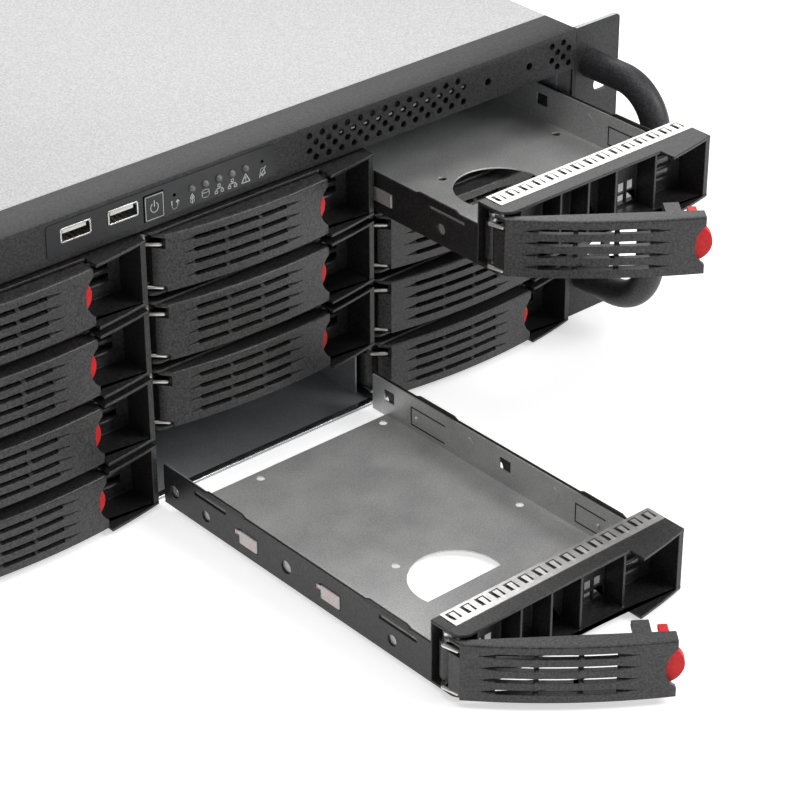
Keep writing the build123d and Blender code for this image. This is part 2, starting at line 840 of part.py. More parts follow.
def power_supply():
    y1 = rear_y - wall_sheet
    x0 = psu_left
    x1 = psu_left + psu_width
    body = block(x0, x1, y1 - psu_depth, y1, psu_base, psu_base + psu_height)
    nose_rear = rear_y + psu_nose_stand
    nose = block(x0 + psu_nose_margin, x1 - psu_nose_margin, y1, nose_rear,
                 psu_base + psu_nose_margin, psu_base + psu_height - psu_nose_margin)
    inlet_x = x0 + inlet_left + inlet_width / 2
    inlet_z = psu_base + inlet_left + inlet_height / 2
    cuts = [block(inlet_x - inlet_width / 2, inlet_x + inlet_width / 2, rear_y - inlet_depth, nose_rear + 1,
                  inlet_z - inlet_height / 2, inlet_z + inlet_height / 2)]
    pins = []
    for dx, dz in inlet_pins:
        x = inlet_x + dx
        z = inlet_z + dz
        pins.append(block(x - inlet_pin_width / 2, x + inlet_pin_width / 2, rear_y - inlet_depth - lap, rear_y - 2,
                          z - inlet_pin_height / 2, z + inlet_pin_height / 2))
    for index in range(grille_count):
        z = psu_base + grille_low + index * grille_pitch
        cuts.append(block(x0 + grille_left, x1 - grille_right, rear_y - grille_depth, nose_rear + 1,
                          z, z + grille_slot))
    return body + [nose] - cuts + pins


slot_cover_width = 18.4
slot_cover_sheet = 0.9
slot_cover_lap = 6.0


def slot_covers():
    covers = []
    back = rear_y - wall_sheet
    for index in range(slot_count):
        x = card_left + index * card_pitch + (card_pitch - slot_cover_width) / 2
        covers.append(block(x, x + slot_cover_width, back - slot_cover_sheet, back,
                            card_base - slot_cover_lap, card_base + card_slot_height + slot_cover_lap))
    return covers


# Screws: ear screws on the case sides, handle screws behind the ears
screw_head_radius = 3.4
screw_head_height = 1.6
ear_screw_y = (20.0, 48.0)
ear_screw_z = (24.0, 66.0, 104.0)
handle_head_height = 2.2


def screws():
    heads = []
    for side in (-1, 1):
        near = side * (half_width + ear_sheet)
        far = side * (half_width + ear_sheet + screw_head_height)
        for y in ear_screw_y:
            for z in ear_screw_z:
                heads.append(rod_x(y, z, min(near, far), max(near, far), screw_head_radius))
        for z in handle_z:
            heads.append(rod_y(side * handle_x, z, 0, handle_head_height, screw_head_radius))
    return heads


save("chassis_tub", *chassis_tub())
save("top_cover", top_cover())
save("front_fascia", front_fascia())
save("control_overlay", control_overlay())
save("usb_ports", *usb_ports())
save("indicator_lights", *indicator_lights())
save("power_button", power_button())
save("control_board", control_board())
save("rack_ears", rack_ear(-1), rack_ear(1))
save("ear_handles", ear_handle(-1), ear_handle(1))
save("drive_cage", *drive_cage())
save("backplane", *backplane())
save("fan_wall", fan_wall())
save("fan_frames", *[fan_frame(x) for x in fan_places()])
for number, x in enumerate(fan_places()):
    save(f"fan_rotor_{number + 1}", fan_rotor(x))
save("power_supply", power_supply())
save("slot_covers", *slot_covers())
save("screws", *screws())
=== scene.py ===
import math

import bmesh
import bpy
from bpy.props import FloatProperty, FloatVectorProperty, IntProperty, PointerProperty, StringProperty
from mathutils import Matrix, Vector


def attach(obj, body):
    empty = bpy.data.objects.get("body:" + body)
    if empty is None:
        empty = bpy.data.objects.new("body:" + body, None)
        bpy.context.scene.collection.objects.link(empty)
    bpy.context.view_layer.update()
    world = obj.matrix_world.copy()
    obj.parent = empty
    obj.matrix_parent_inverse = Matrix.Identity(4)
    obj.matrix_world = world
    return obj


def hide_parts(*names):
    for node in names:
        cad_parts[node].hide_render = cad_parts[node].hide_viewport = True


bl_info = {
    "name": "Rackmount chassis dresser",
    "version": (1, 0, 0),
    "blender": (4, 5, 0),
    "location": "View3D > Sidebar > Chassis",
    "description": "Finishes a rackmount server chassis over its packed construction model",
    "category": "Object",
}

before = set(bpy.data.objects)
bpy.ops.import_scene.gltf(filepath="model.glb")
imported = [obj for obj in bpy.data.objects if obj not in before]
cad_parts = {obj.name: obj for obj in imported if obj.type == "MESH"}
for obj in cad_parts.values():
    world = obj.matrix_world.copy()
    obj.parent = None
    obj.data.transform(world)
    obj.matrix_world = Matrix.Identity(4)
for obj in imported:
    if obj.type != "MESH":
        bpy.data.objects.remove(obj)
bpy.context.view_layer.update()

MM = 0.001

# Bay grid, open carriers, lever outline and sockets, in millimetres and degrees as in the construction
COLUMN_PITCH = 107.5
ROW_PITCH = 28.7
SIDE_GAP = 1.2
CARRIER_LIFT = 1.5
FASCIA_Y = -2.0
OPEN_PULL = {"d1": 73.2, "c4": 168.5}
OPEN_ANGLE = 37.0
PIVOT = (5.2, 8.4)
CARRIER_WIDTH = 105.1
CARRIER_HEIGHT = 26.1
LATCH_PRESS = 2.5
LEVER_LEFT = 3.4
FACET_END = 6.8
LEVER_RIGHT = 80.2
KNUCKLE_BOTTOM = 3.6
KNUCKLE_TOP = 18.9
SOCKET_PLACES = (-28.0, -7.5)
SOCKET_HEIGHT = 125.0
TAGS = [column + str(row) for column in "abcd" for row in range(1, 5)]


# Settings that a user would change
class ChassisFinish(bpy.types.PropertyGroup):
    black_paint: StringProperty(name="Black paint", description="Powder coat of strip and ears",
                                default="#0d0c0c")
    grey_paint: StringProperty(name="Grey paint", description="Powder coat of the top cover",
                               default="#e2e2e2")
    black_moulding: StringProperty(name="Black moulding", description="Plastic of the carriers",
                                   default="#0b0b0b")
    lever_moulding: StringProperty(name="Lever moulding", description="Plastic of the levers",
                                   default="#0f0e0e")
    red_moulding: StringProperty(name="Red moulding", description="Plastic of the latches",
                                 default="#f41014")
    edge_round: FloatProperty(name="Edge rounding", description="Rounding of folded and moulded edges",
                              default=0.0003, min=0.0, max=0.002, unit="LENGTH")
    grain_size: FloatProperty(name="Grain", description="Size of the moulded grain", default=0.0009,
                              min=0.0001, max=0.01, unit="LENGTH")


class LeverShape(bpy.types.PropertyGroup):
    bottom: FloatProperty(name="Bottom", description="Underside above the carrier's base", default=0.0014,
                          unit="LENGTH")
    top: FloatProperty(name="Top", description="Upper side above the carrier's base", default=0.0246,
                       unit="LENGTH")
    wall: FloatProperty(name="Wall", description="Thickness of the front wall", default=0.0022,
                        unit="LENGTH")
    slot_pitch: FloatProperty(name="Slot pitch", description="Distance between slot rows", default=0.0049,
                              unit="LENGTH")
    slot_height: FloatProperty(name="Slot height", description="Height of one slot", default=0.0019,
                               unit="LENGTH")
    slot_rows: IntProperty(name="Slot rows", description="Rows of slots", default=4, min=1, max=6)


class StageSettings(bpy.types.PropertyGroup):
    camera_place: FloatVectorProperty(name="Camera", description="Place of the camera", size=3,
                                      subtype="TRANSLATION", unit="LENGTH",
                                      default=(-0.5082, -0.7232, 0.5699))
    azimuth: FloatProperty(name="Azimuth", description="Heading of the view", default=math.radians(41.2),
                           subtype="ANGLE")
    elevation: FloatProperty(name="Elevation", description="Angle of the view below the horizon",
                             default=math.radians(30.9), subtype="ANGLE")
    lens: FloatProperty(name="Lens", description="Focal length in millimetres", default=124.155)


# Small tools
def linear(code):
    """Colour code such as #c0ffee as linear red, green, blue and alpha."""
    out = []
    for index in (1, 3, 5):
        value = int(code[index:index + 2], 16) / 255
        out.append(value / 12.92 if value <= 0.04045 else ((value + 0.055) / 1.055) ** 2.4)
    return (*out, 1.0)


def add_node(tree, kind, settings=None, links=None):
    """Adds one shader node. settings holds properties or input values, links holds (output, input) pairs."""
    node = tree.nodes.new(kind)
    for key, value in (settings or {}).items():
        if isinstance(key, str) and hasattr(node, key):
            setattr(node, key, value)
        else:
            node.inputs[key].default_value = value
    for source, name in links or []:
        tree.links.new(source, node.inputs[name])
    return node


def new_material(name):
    """Empty node material with its output, its shader and Object coordinates."""
    material = bpy.data.materials.new(name)
    material.use_nodes = True
    tree = material.node_tree
    tree.nodes.clear()
    output = add_node(tree, "ShaderNodeOutputMaterial")
    shader = add_node(tree, "ShaderNodeBsdfPrincipled")
    tree.links.new(shader.outputs["BSDF"], output.inputs["Surface"])
    place = add_node(tree, "ShaderNodeTexCoord").outputs["Object"]
    return material, tree, shader, place


def speckle(tree, place, grain, low, high, contrast=0.34):
    """Two close colours in a fine random grain, which a fine texture gives under flash light."""
    noise = add_node(tree, "ShaderNodeTexNoise", {"Scale": 1 / grain, "Detail": 2.0, "Roughness": 0.6},
                     [(place, "Vector")])
    ramp = add_node(tree, "ShaderNodeValToRGB", links=[(noise.outputs["Fac"], "Fac")])
    ramp.color_ramp.elements[0].position = 0.5 - contrast / 2
    ramp.color_ramp.elements[0].color = low
    ramp.color_ramp.elements[1].position = 0.5 + contrast / 2
    ramp.color_ramp.elements[1].color = high
    return noise, ramp


def grained_skin(name, code_low, code_high, grain, roughness, bump, depth, ior):
    """Opaque skin whose fine grain shows in its colour and, by depth in metres, in its height."""
    material, tree, shader, place = new_material(name)
    noise, ramp = speckle(tree, place, grain, linear(code_low), linear(code_high))
    tree.links.new(ramp.outputs["Color"], shader.inputs["Base Color"])
    height = add_node(tree, "ShaderNodeBump", {"Strength": bump, "Distance": depth},
                      [(noise.outputs["Fac"], "Height")])
    tree.links.new(height.outputs["Normal"], shader.inputs["Normal"])
    shader.inputs["Roughness"].default_value = roughness
    shader.inputs["IOR"].default_value = ior
    return material


def powder_coat(name, code_low, code_high, grain, roughness, bump):
    """Polyester powder coat baked on sheet steel: a low sheen over a fine pebbled skin."""
    return grained_skin(name, code_low, code_high, grain, roughness, bump, 0.00012, 1.5)


def moulded_plastic(name, code_low, code_high, grain, roughness, bump):
    """Injection moulded ABS from a spark-eroded tool: matt, with a fine even grain."""
    return grained_skin(name, code_low, code_high, grain, roughness, bump, 0.0001, 1.53)


def galvanised_steel(name, code_low, code_high, roughness_low, roughness_high):
    """Hot-dip galvanised sheet: dull oxidised zinc with a faint cloudy spangle and a fine grain."""
    material, tree, shader, place = new_material(name)
    cloud = add_node(tree, "ShaderNodeTexNoise", {"Scale": 60.0, "Detail": 4.0, "Roughness": 0.6},
                     [(place, "Vector")])
    fine = add_node(tree, "ShaderNodeTexNoise", {"Scale": 1500.0, "Detail": 2.0}, [(place, "Vector")])
    mixed = add_node(tree, "ShaderNodeMath", {"operation": "MULTIPLY_ADD", 1: 0.65},
                     [(fine.outputs["Fac"], 0)])
    faint = add_node(tree, "ShaderNodeMath", {"operation": "MULTIPLY", 1: 0.38}, [(cloud.outputs["Fac"], 0)])
    tree.links.new(faint.outputs["Value"], mixed.inputs[2])
    ramp = add_node(tree, "ShaderNodeValToRGB", links=[(mixed.outputs["Value"], "Fac")])
    ramp.color_ramp.elements[0].position = 0.35
    ramp.color_ramp.elements[0].color = linear(code_low)
    ramp.color_ramp.elements[1].position = 0.65
    ramp.color_ramp.elements[1].color = linear(code_high)
    tree.links.new(ramp.outputs["Color"], shader.inputs["Base Color"])
    span = {"From Min": 0.3, "From Max": 0.7, "To Min": roughness_low, "To Max": roughness_high}
    rough = add_node(tree, "ShaderNodeMapRange", span, [(cloud.outputs["Fac"], "Value")])
    tree.links.new(rough.outputs["Result"], shader.inputs["Roughness"])
    height = add_node(tree, "ShaderNodeBump", {"Strength": 0.15, "Distance": 0.0001},
                      [(fine.outputs["Fac"], "Height")])
    tree.links.new(height.outputs["Normal"], shader.inputs["Normal"])
    shader.inputs["Metallic"].default_value = 0.55
    return material


def plain_gloss(name, code_low, code_high, roughness, metallic=0.0, ior=1.5):
    """Smooth moulded or plated surface with only a faint unevenness of colour."""
    material, tree, shader, place = new_material(name)
    ramp = speckle(tree, place, 0.004, linear(code_low), linear(code_high))[1]
    tree.links.new(ramp.outputs["Color"], shader.inputs["Base Color"])
    shader.inputs["Roughness"].default_value = roughness
    shader.inputs["Metallic"].default_value = metallic
    if metallic == 0.0:
        shader.inputs["IOR"].default_value = ior
    return material


def circuit_board(name):
    """Glass-epoxy board under green solder mask: a satin skin over faint copper runs."""
    material, tree, shader, place = new_material(name)
    colours = {"Color1": linear("#14502c"), "Color2": linear("#175a32"), "Mortar": linear("#1f7040")}
    brick = add_node(tree, "ShaderNodeTexBrick", {"Scale": 90.0, "Mortar Size": 0.03, **colours},
                     [(place, "Vector")])
    tree.links.new(brick.outputs["Color"], shader.inputs["Base Color"])
    shader.inputs["Roughness"].default_value = 0.35
    return material


def materials():
    """Makes every finish once."""
    finish = bpy.context.scene.chassis_finish
    grain = finish.grain_size
    return {
        "black_paint": powder_coat("powder_coat_black", finish.black_paint, "#363536", grain, 0.54, 0.6),
        "handle_paint": powder_coat("powder_coat_satin_black", "#1d1d1f", "#434346", grain, 0.5, 0.4),
        "grey_paint": powder_coat("powder_coat_light_grey", "#c2c2c2", finish.grey_paint, grain * 0.8,
                                  0.6, 0.25),
        "carrier": moulded_plastic("abs_spark_eroded_black", finish.black_moulding, "#3a3939", grain,
                                   0.42, 0.6),
        "lever": moulded_plastic("abs_lever_black", finish.lever_moulding, "#484646", grain, 0.4, 0.6),
        "zinc": galvanised_steel("galvanised_steel", "#a5a9ad", "#c3c6c9", 0.4, 0.5),
        "pan_zinc": galvanised_steel("galvanised_steel_pan", "#b9bbbb", "#dcdcda", 0.4, 0.48),
        "leaf": galvanised_steel("nickel_plated_spring_leaf", "#c9bcbb", "#e6dcda", 0.4, 0.5),
        "spring": plain_gloss("stainless_spring_strip", "#cfcdcb", "#e6e4e2", 0.35, 1.0),
        "red": moulded_plastic("abs_red", "#d80a0e", finish.red_moulding, 0.0012, 0.5, 0.15),
        "plated": plain_gloss("nickel_plated_steel", "#c2c2c0", "#e2e2e0", 0.2, 1.0),
        "film": plain_gloss("polyester_overlay_film", "#191a1c", "#222326", 0.35),
        "lamp": plain_gloss("polycarbonate_light_pipe", "#5f5f5e", "#7d7c7b", 0.12, ior=1.58),
        "board": circuit_board("solder_mask_green"),
        "fan": moulded_plastic("glass_filled_nylon_black", "#101113", "#1d1e20", 0.0015, 0.4, 0.2),
        "screw": plain_gloss("black_oxide_screw", "#1a1a1b", "#2a2a2b", 0.35, 1.0),
        "button": plain_gloss("abs_button_black", "#17181a", "#222326", 0.3),
        "ink": plain_gloss("screen_print_white", "#c9cac9", "#e4e5e4", 0.5),
        "gold": plain_gloss("gold_flash_contact", "#c79a3c", "#dcb252", 0.25, 1.0),
        # Flat near-black used only for the painted shade strips at the lanced gaps of the pan walls
        "dark": plain_gloss("painted_shade_black", "#0d0d0e", "#161617", 0.4),
        "white_plastic": plain_gloss("nylon_white", "#e6e6e2", "#f2f2ee", 0.35),
    }


FINISH = {}


def block(bm, x0, x1, y0, y1, z0, z1):
    """Cuboid between two corners, returned as its vertices."""
    made = bmesh.ops.create_cube(bm, size=1.0)["verts"]
    bmesh.ops.scale(bm, verts=made, vec=(x1 - x0, y1 - y0, z1 - z0))
    bmesh.ops.translate(bm, verts=made, vec=((x0 + x1) / 2, (y0 + y1) / 2, (z0 + z1) / 2))
    return made


def rod(bm, a, b, radius, segments=20, tip=None):
    """Round bar from a to b, with another radius at b if tip is given."""
    a = Vector(a)
    b = Vector(b)
    run = b - a
    turn = run.to_track_quat("Z", "Y").to_matrix().to_4x4()
    place = Matrix.Translation((a + b) / 2) @ turn
    made = bmesh.ops.create_cone(bm, cap_ends=True, segments=segments, radius1=radius,
                                 radius2=radius if tip is None else tip, depth=run.length, matrix=place)
    return made["verts"]


def cut_lines(bm, axis, places):
    """Divides all faces along planes across one axis."""
    normal = [0.0, 0.0, 0.0]
    normal[axis] = 1.0
    for place in places:
        point = [place * value for value in normal]
        geometry = bm.verts[:] + bm.edges[:] + bm.faces[:]
        bmesh.ops.bisect_plane(bm, geom=geometry, plane_co=point, plane_no=normal, dist=1e-5)


def carrier_origin(tag):
    """Corner of a carrier in millimetres."""
    column = "abcd".index(tag[0])
    row = int(tag[1]) - 1
    x = (column - 2) * COLUMN_PITCH + SIDE_GAP
    return Vector((x, FASCIA_Y - OPEN_PULL.get(tag, 0.0), (3 - row) * ROW_PITCH + CARRIER_LIFT))


def carrier_matrix(tag, swings):
    """Places carrier millimetres in the frame, swung open where the carrier is open."""
    place = Matrix.Translation(carrier_origin(tag))
    if swings and tag in OPEN_PULL:
        pin = Vector((PIVOT[0], PIVOT[1], 0.0))
        turn = Matrix.Rotation(math.radians(-OPEN_ANGLE), 4, "Z")
        place = place @ Matrix.Translation(pin) @ turn @ Matrix.Translation(-pin)
    return Matrix.Scale(MM, 4) @ place


def make_piece(bm, name, body, finishes, replaced=(), smooth_angle=35.0, edge=None, segments=2):
    """Turns a mesh into a finished piece that rides on a body."""
    mesh = bpy.data.meshes.new(name)
    bm.to_mesh(mesh)
    bm.free()
    for finish in finishes:
        mesh.materials.append(FINISH[finish])
    for face in mesh.polygons:
        face.use_smooth = True
    mesh.set_sharp_from_angle(angle=math.radians(smooth_angle))
    piece = bpy.data.objects.new(name, mesh)
    bpy.context.scene.collection.objects.link(piece)
    if edge:
        bevel = piece.modifiers.new("edge", "BEVEL")
        bevel.width = edge
        bevel.segments = segments
        bevel.limit_method = "ANGLE"
        bevel.angle_limit = math.radians(smooth_angle)
        bevel.use_clamp_overlap = False
        bevel.harden_normals = True
    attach(piece, body)
    if replaced:
        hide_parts(*replaced)
    return piece


def solid_copy(node):
    """Mesh of a construction node with its loose triangles joined into plain faces."""
    bm = bmesh.new()
    bm.from_mesh(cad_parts[node].data)
    bmesh.ops.remove_doubles(bm, verts=bm.verts, dist=2e-6)
    bmesh.ops.dissolve_limit(bm, angle_limit=math.radians(1.0), verts=bm.verts, edges=bm.edges)
    return bm


def local_copy(node, tag):
    """The same in carrier millimetres."""
    bm = solid_copy(node)
    bmesh.ops.scale(bm, verts=bm.verts, vec=(1000.0, 1000.0, 1000.0))
    bmesh.ops.translate(bm, verts=bm.verts, vec=-carrier_origin(tag))
    return bm


def placed(bm, tag, swings=False, shift=0.0):
    """Copy of a carrier mesh at one bay, moved along the carrier's width by shift."""
    out = bm.copy()
    bmesh.ops.translate(out, verts=out.verts, vec=(shift, 0.0, 0.0))
    bmesh.ops.transform(out, matrix=carrier_matrix(tag, swings), verts=out.verts)
    return out


def carrier_body(tag):
    return f"carrier_{tag}"


def lever_body(tag):
    return f"lever_{tag}"


# Lever
def lever_front_y(x):
    """Front of the lever: a slanted facet at the hinge, then one long bow."""
    facet_rear = 0.6
    facet_front = -3.6
    bow_radius = 254.0
    bow_centre = (54.45, 245.89)
    if x < FACET_END:
        return facet_rear + (x - LEVER_LEFT) / (FACET_END - LEVER_LEFT) * (facet_front - facet_rear)
    return bow_centre[1] - math.sqrt(bow_radius ** 2 - (x - bow_centre[0]) ** 2)


def lever_shell(shape):
    """Front wall with slots and grooves, its flanges, hinge arm and hook, in millimetres."""
    bottom = shape.bottom / MM
    top = shape.top / MM
    wall = shape.wall / MM
    middle = (bottom + top) / 2
    flange = 1.4
    back = -0.9
    bm = bmesh.new()
    made = bmesh.ops.create_grid(bm, x_segments=1, y_segments=1, size=0.5)["verts"]
    bmesh.ops.rotate(bm, verts=made, cent=(0, 0, 0), matrix=Matrix.Rotation(math.radians(90), 3, "X"))
    bmesh.ops.scale(bm, verts=made, vec=(LEVER_RIGHT - LEVER_LEFT, 1.0, top - bottom))
    bmesh.ops.translate(bm, verts=made, vec=((LEVER_RIGHT + LEVER_LEFT) / 2, 0.0, middle))
    starts = (18.8, 33.3, 48.4)
    ends = (31.7, 46.6, 59.8)
    tips = (13.0, 67.0)
    bow = [FACET_END + index * 3.67 for index in range(20)]
    lines = sorted(set(bow) | set(starts) | set(ends) | set(tips) | {72.0, 76.0})
    cut_lines(bm, 0, lines)
    rows = []
    for index in range(shape.slot_rows):
        rows.append(middle + (index - (shape.slot_rows - 1) / 2) * shape.slot_pitch / MM)
    half = shape.slot_height / MM / 2
    rounding = 0.8
    groove_depth = 1.4
    levels = [bottom + flange, top - flange, KNUCKLE_BOTTOM, KNUCKLE_TOP]
    for angle in (0.0, 22.5, 45.0, 67.5):
        levels.append(top - rounding + rounding * math.sin(math.radians(angle)))
    for row in rows:
        levels += [row - half, row, row + half]
    levels += [middle + rise for rise in (-8.0, -7.0, -5.5, -3.7, -1.8, 0.0, 1.8, 3.7, 5.5, 7.0, 8.0)]
    cut_lines(bm, 2, levels)
    holes = []
    for face in bm.faces:
        centre = face.calc_center_median()
        in_row = any(abs(centre.z - row) < half for row in rows)
        in_slot = any(x0 < centre.x < x1 for x0, x1 in zip(starts, ends))
        # The hinge corner is cut back above and below the knuckle for the spring legs
        beside = centre.z < KNUCKLE_BOTTOM or KNUCKLE_TOP < centre.z < top - flange
        if (in_row and in_slot) or (centre.x < FACET_END and beside):
            holes.append(face)
    bmesh.ops.delete(bm, geom=holes, context="FACES")
    # The webs between the slots lie below the front, in the same groove
    webs = []
    for face in bm.faces:
        centre = face.calc_center_median()
        between = any(x0 < centre.x < x1 for x0, x1 in zip(ends[:-1], starts[1:]))
        if between and any(abs(centre.z - row) < half for row in rows):
            webs.append(face)
    sunk = bmesh.ops.extrude_face_region(bm, geom=webs)["geom"]
    for vert in [item for item in sunk if isinstance(item, bmesh.types.BMVert)]:
        vert.co.y += groove_depth
    walls = []
    for face in bm.faces:
        xs = [vert.co.x for vert in face.verts]
        if max(xs) - min(xs) < 1e-4:
            walls.append(face)
    bmesh.ops.delete(bm, geom=walls, context="FACES")
    # Notch round the release disc
    notch_radius = 10.0
    notch_reach = 8.0
    for vert in bm.verts:
        rise = vert.co.z - middle
        if vert.co.x > LEVER_RIGHT - 0.1 and abs(rise) < notch_reach:
            vert.co.x = LEVER_RIGHT + 6.0 - math.sqrt(notch_radius ** 2 - rise * rise)
    front = bm.faces[:]
    made = bmesh.ops.extrude_face_region(bm, geom=front, use_keep_orig=True)["geom"]
    rear = [item for item in made if isinstance(item, bmesh.types.BMVert)]
    rear_faces = [item for item in made if isinstance(item, bmesh.types.BMFace)]
    rear_set = set(rear)
    for vert in bm.verts:
        shift = lever_front_y(vert.co.x)
        if vert in rear_set:
            vert.co.y = max(min(shift + wall, back), shift + 0.9)
        else:
            vert.co.y += shift
            rise = vert.co.z - (top - rounding)
            if rise > 0.001:
                vert.co.y += rounding - math.sqrt(max(0.0, rounding ** 2 - rise ** 2))
            row = min(rows, key=lambda value: abs(value - vert.co.z))
            level = abs(vert.co.z - row) / half
            taper = min((vert.co.x - tips[0]) / (starts[0] - tips[0]),
                        (tips[1] - vert.co.x) / (tips[1] - ends[2]))
            if level < 1.001 and taper > 0.02:
                vert.co.y += groove_depth * min(1.0, taper) * (1.0 - min(1.0, level))
            if level < 1.001 and 0.0 <= taper < 1.0:
                vert.co.z = row + (vert.co.z - row) * max(taper, 0.15)
    # Flanges grow back from the wall's upper and lower edge
    for low, high in ((top - flange, top), (bottom, bottom + flange)):
        strip = []
        for face in [item for item in rear_faces if item.is_valid]:
            centre = face.calc_center_median()
            if low < centre.z < high and centre.x > FACET_END + 0.1:
                strip.append(face)
        grown = bmesh.ops.extrude_face_region(bm, geom=strip)["geom"]
        for vert in [item for item in grown if isinstance(item, bmesh.types.BMVert)]:
            vert.co.y = back
    bmesh.ops.recalc_face_normals(bm, faces=bm.faces)
    # Hinge arm with its barrel
    block(bm, LEVER_LEFT, 9.0, 0.8, 6.0, KNUCKLE_BOTTOM, KNUCKLE_TOP)
    rod(bm, (*PIVOT, KNUCKLE_BOTTOM), (*PIVOT, KNUCKLE_TOP), 4.3, 28)
    # Hook that catches the frame
    hook = block(bm, 66.0, 72.0, -2.4, 8.5, 20.8, 24.2)
    for vert in hook:
        if vert.co.y > 8.0 and vert.co.z > 24.0:
            vert.co.y -= 1.6
    return bm


def release_disc(bm):
    """Red latch: a thumb disc in the lever's notch with a neck and a tip."""
    rod(bm, (75.9, -1.4, 13.0), (75.9, -4.6, 13.0), 7.6, 48, tip=7.3)
    block(bm, 74.8, 78.3, -3.3, -1.4, 17.0, 22.9)
    block(bm, 74.8, 78.3, -1.6, 6.0, 21.0, 22.9)


def spring_and_pin(bm):
    """Hinge pin with the two torsion springs and their straight legs."""
    rod(bm, (*PIVOT, 0.2), (*PIVOT, CARRIER_HEIGHT - 0.2), 1.5, 20)
    wire = 0.85
    coil_radius = 3.15
    # Two turns above the knuckle and one below it, each spring's leg level with its lowest turn
    for low, turns in ((19.2, 2), (1.6, 1)):
        leg = low + wire
        for index in range(turns):
            z = low + wire * (2 * index + 1)
            rod(bm, (*PIVOT, z - wire * 0.92), (*PIVOT, z + wire * 0.92), coil_radius, 24)
        knee = (1.9, 2.9, leg)
        end = (6.3, -1.0, leg)
        rod(bm, (2.85, PIVOT[1], leg), knee, wire, 12)
        rod(bm, knee, end, wire, 12)
        for place in (knee, end):
            bmesh.ops.create_uvsphere(bm, u_segments=12, v_segments=8, radius=wire,
                                      matrix=Matrix.Translation(place))


def frame_details(bm):
    """Hoods of the three louvres in the finger well, in millimetres."""
    for index in range(3):
        z = 7.4 + index * 5.0
        hood = bmesh.ops.create_uvsphere(bm, u_segments=20, v_segments=10, radius=1.0)["verts"]
        bmesh.ops.scale(bm, verts=hood, vec=(6.8, 2.2, 1.2))
        bmesh.ops.translate(bm, verts=hood, vec=(91.0, 9.5, z))


def finger_strip(bm):
    """Earthing strip: a flat band with a row of raised spring fingers, in millimetres."""
    left, right, front, rear = 4.0, 104.5, 5.0, 13.6
    base = CARRIER_HEIGHT
    count = 15
    pitch = (right - left) / count
    made = bmesh.ops.create_grid(bm, x_segments=1, y_segments=1, size=0.5)["verts"]
    bmesh.ops.scale(bm, verts=made, vec=(right - left, rear - front, 1.0))
    bmesh.ops.translate(bm, verts=made, vec=((left + right) / 2, (front + rear) / 2, base + 0.02))
    window_front = front + 2.6
    window_rear = rear - 1.2
    windows = []
    for index in range(count):
        x = left + index * pitch
        windows.append((x + 0.18 * pitch, x + 0.8 * pitch, window_front, window_rear))
    cut_lines(bm, 0, sorted({edge for window in windows for edge in window[:2]}))
    cut_lines(bm, 1, [window_front, window_rear])
    gone = []
    for face in bm.faces:
        centre = face.calc_center_median()
        if any(x0 < centre.x < x1 and y0 < centre.y < y1 for x0, x1, y0, y1 in windows):
            gone.append(face)
    bmesh.ops.delete(bm, geom=gone, context="FACES")
    grown = bmesh.ops.extrude_face_region(bm, geom=bm.faces[:], use_keep_orig=True)["geom"]
    top = [item for item in grown if isinstance(item, bmesh.types.BMVert)]
    bmesh.ops.translate(bm, verts=top, vec=(0.0, 0.0, 0.22))
    bmesh.ops.recalc_face_normals(bm, faces=bm.faces)
    # Each finger springs up from the front edge of its window and leans to one side
    for x0, x1, y0, y1 in windows:
        finger = block(bm, x0 + 1.5, x1 - 0.45, y0 - 0.6, y1 - 1.0, base + 0.1, base + 0.28)
        for vert in finger:
            if vert.co.y > y0:
                vert.co.z += 0.34
                vert.co.x -= 0.45
            elif vert.co.x > (x0 + x1) / 2:
                vert.co.x -= 0.7


def pan_details(bm):
    """Raised crescents and drive studs of the pan's two walls, in millimetres."""
    for wall_x, inward in ((1.62, 1.0), (CARRIER_WIDTH - 1.62, -1.0)):
        for y in (108.0, 61.0):
            for step in range(7):
                a = math.radians(100.0 + step * 26.0)
                b = math.radians(126.0 + step * 26.0)
                rod(bm, (wall_x, y + 3.4 * math.cos(a), 9.5 + 3.4 * math.sin(a)),
                    (wall_x, y + 3.4 * math.cos(b), 9.5 + 3.4 * math.sin(b)), 0.28, 8)
        for y in (138.0, 37.0):
            rod(bm, (wall_x - 0.3 * inward, y, 7.0), (wall_x + 0.9 * inward, y, 7.0), 1.5, 20, tip=1.1)


def lance_lines(bm):
    """Thin dark strips round the sprung tongues of the pan walls, painted shade where the gaps are, in
    millimetres.
    """
    for x0 in (1.58, CARRIER_WIDTH - 1.64):
        for y0, y1 in ((121.0, 141.0), (33.0, 49.0)):
            for z in (3.6, 11.4):
                block(bm, x0, x0 + 0.06, y0, y1, z - 0.3, z + 0.3)
            block(bm, x0, x0 + 0.06, y1 - 0.6, y1, 3.6, 11.4)


def rail_details(bm):
    """Swells along the upper edge of the side rails, in millimetres."""
    for x0 in (0.0, CARRIER_WIDTH - 0.9):
        for y0, y1 in ((113.0, 141.0), (22.0, 50.0)):
            swell = block(bm, x0, x0 + 0.9, y0, y1, 15.8, 17.6)
            for vert in swell:
                if vert.co.z > 17.0:
                    vert.co.y += 4.0 if vert.co.y < (y0 + y1) / 2 else -4.0


def leaf_springs(bm):
    """Sprung pads in the side rails, each with its narrow root, in millimetres."""
    for x0, x1 in ((-0.46, 0.4), (CARRIER_WIDTH - 0.4, CARRIER_WIDTH + 0.46)):
        for y in (61.4, 107.9):
            block(bm, x0, x1, y, y + 9.0, 4.6, 10.4)
            block(bm, x0 + 0.3, x1 - 0.3, y + 9.0, y + 12.6, 7.6, 9.8)


